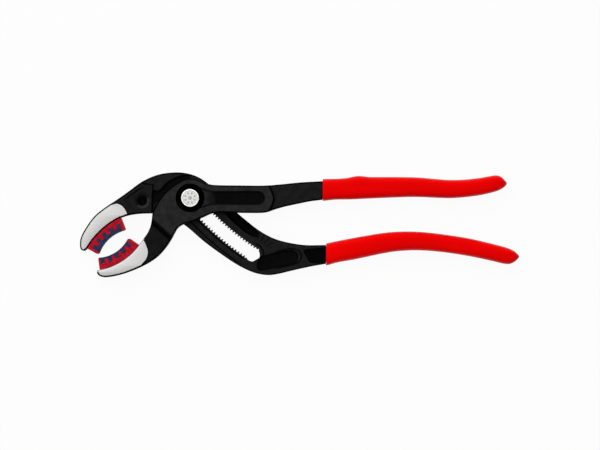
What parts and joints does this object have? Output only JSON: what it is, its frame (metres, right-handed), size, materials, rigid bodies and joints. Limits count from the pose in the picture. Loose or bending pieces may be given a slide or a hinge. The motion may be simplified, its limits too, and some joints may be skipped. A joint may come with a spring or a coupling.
{
  "type": "water pump pliers",
  "caption": "Adjustable pump pliers with a curved toothed slot, push-button joint, box-joint levers, dipped handle grips and soft jaw inserts.",
  "frame": {"origin": "on the joint's axis at the smallest setting, in the plane of the back faces, at the centre of the bolt's end face", "axes": "+X from the jaws to the handles, +Y across the handles towards the upper handle, +Z through the thickness towards the push button"},
  "size_m": [0.2502, 0.0598, 0.0145],
  "materials": {
    "black_steel": "satin black oxide on forged steel, ground bright on the jaws' side faces",
    "dark_steel": "dark turned steel",
    "bright_steel": "bright nickel-plated steel",
    "spring_steel": "plain spring steel",
    "red_vinyl": "smooth dip-coated vinyl",
    "red_plastic": "moulded hard plastic",
    "blue_lining": "soft moulded lining"
  },
  "bodies": {
    "lower_handle": {"inner_lever": "black_steel", "lower_handle_grip": "red_vinyl", "upper_insert_backing": "red_plastic", "upper_insert_lining": "blue_lining"},
    "joint_carriage": {"joint_bolt": "dark_steel", "catch_spring": "spring_steel"},
    "upper_handle": {"outer_lever": "black_steel", "upper_handle_grip": "red_vinyl", "lower_insert_backing": "red_plastic", "lower_insert_lining": "blue_lining", "button_collar": "dark_steel", "retaining_ring": "spring_steel"},
    "button": {"push_button": "bright_steel", "catch_block": "bright_steel"}
  },
  "joints": [
    {"name": "size_adjust", "type": "hinge", "parent": "lower_handle", "child": "joint_carriage", "pos_m": [0.11782, 0.0954, 0], "axis": [0, 0, 1], "range_deg": [0, 17.23]},
    {"name": "handle_opening", "type": "hinge", "parent": "joint_carriage", "child": "upper_handle", "pos_m": [0, 0, 0], "axis": [0, 0, 1], "range_deg": [-1, 30]},
    {"name": "button_press", "type": "slide", "parent": "joint_carriage", "child": "button", "axis": [0, 0, -1], "range_m": [0, 0.0022], "stiffness_N_per_m": 2500, "springref_m": -0.0015, "deforming": ["catch_spring"]}
  ]
}
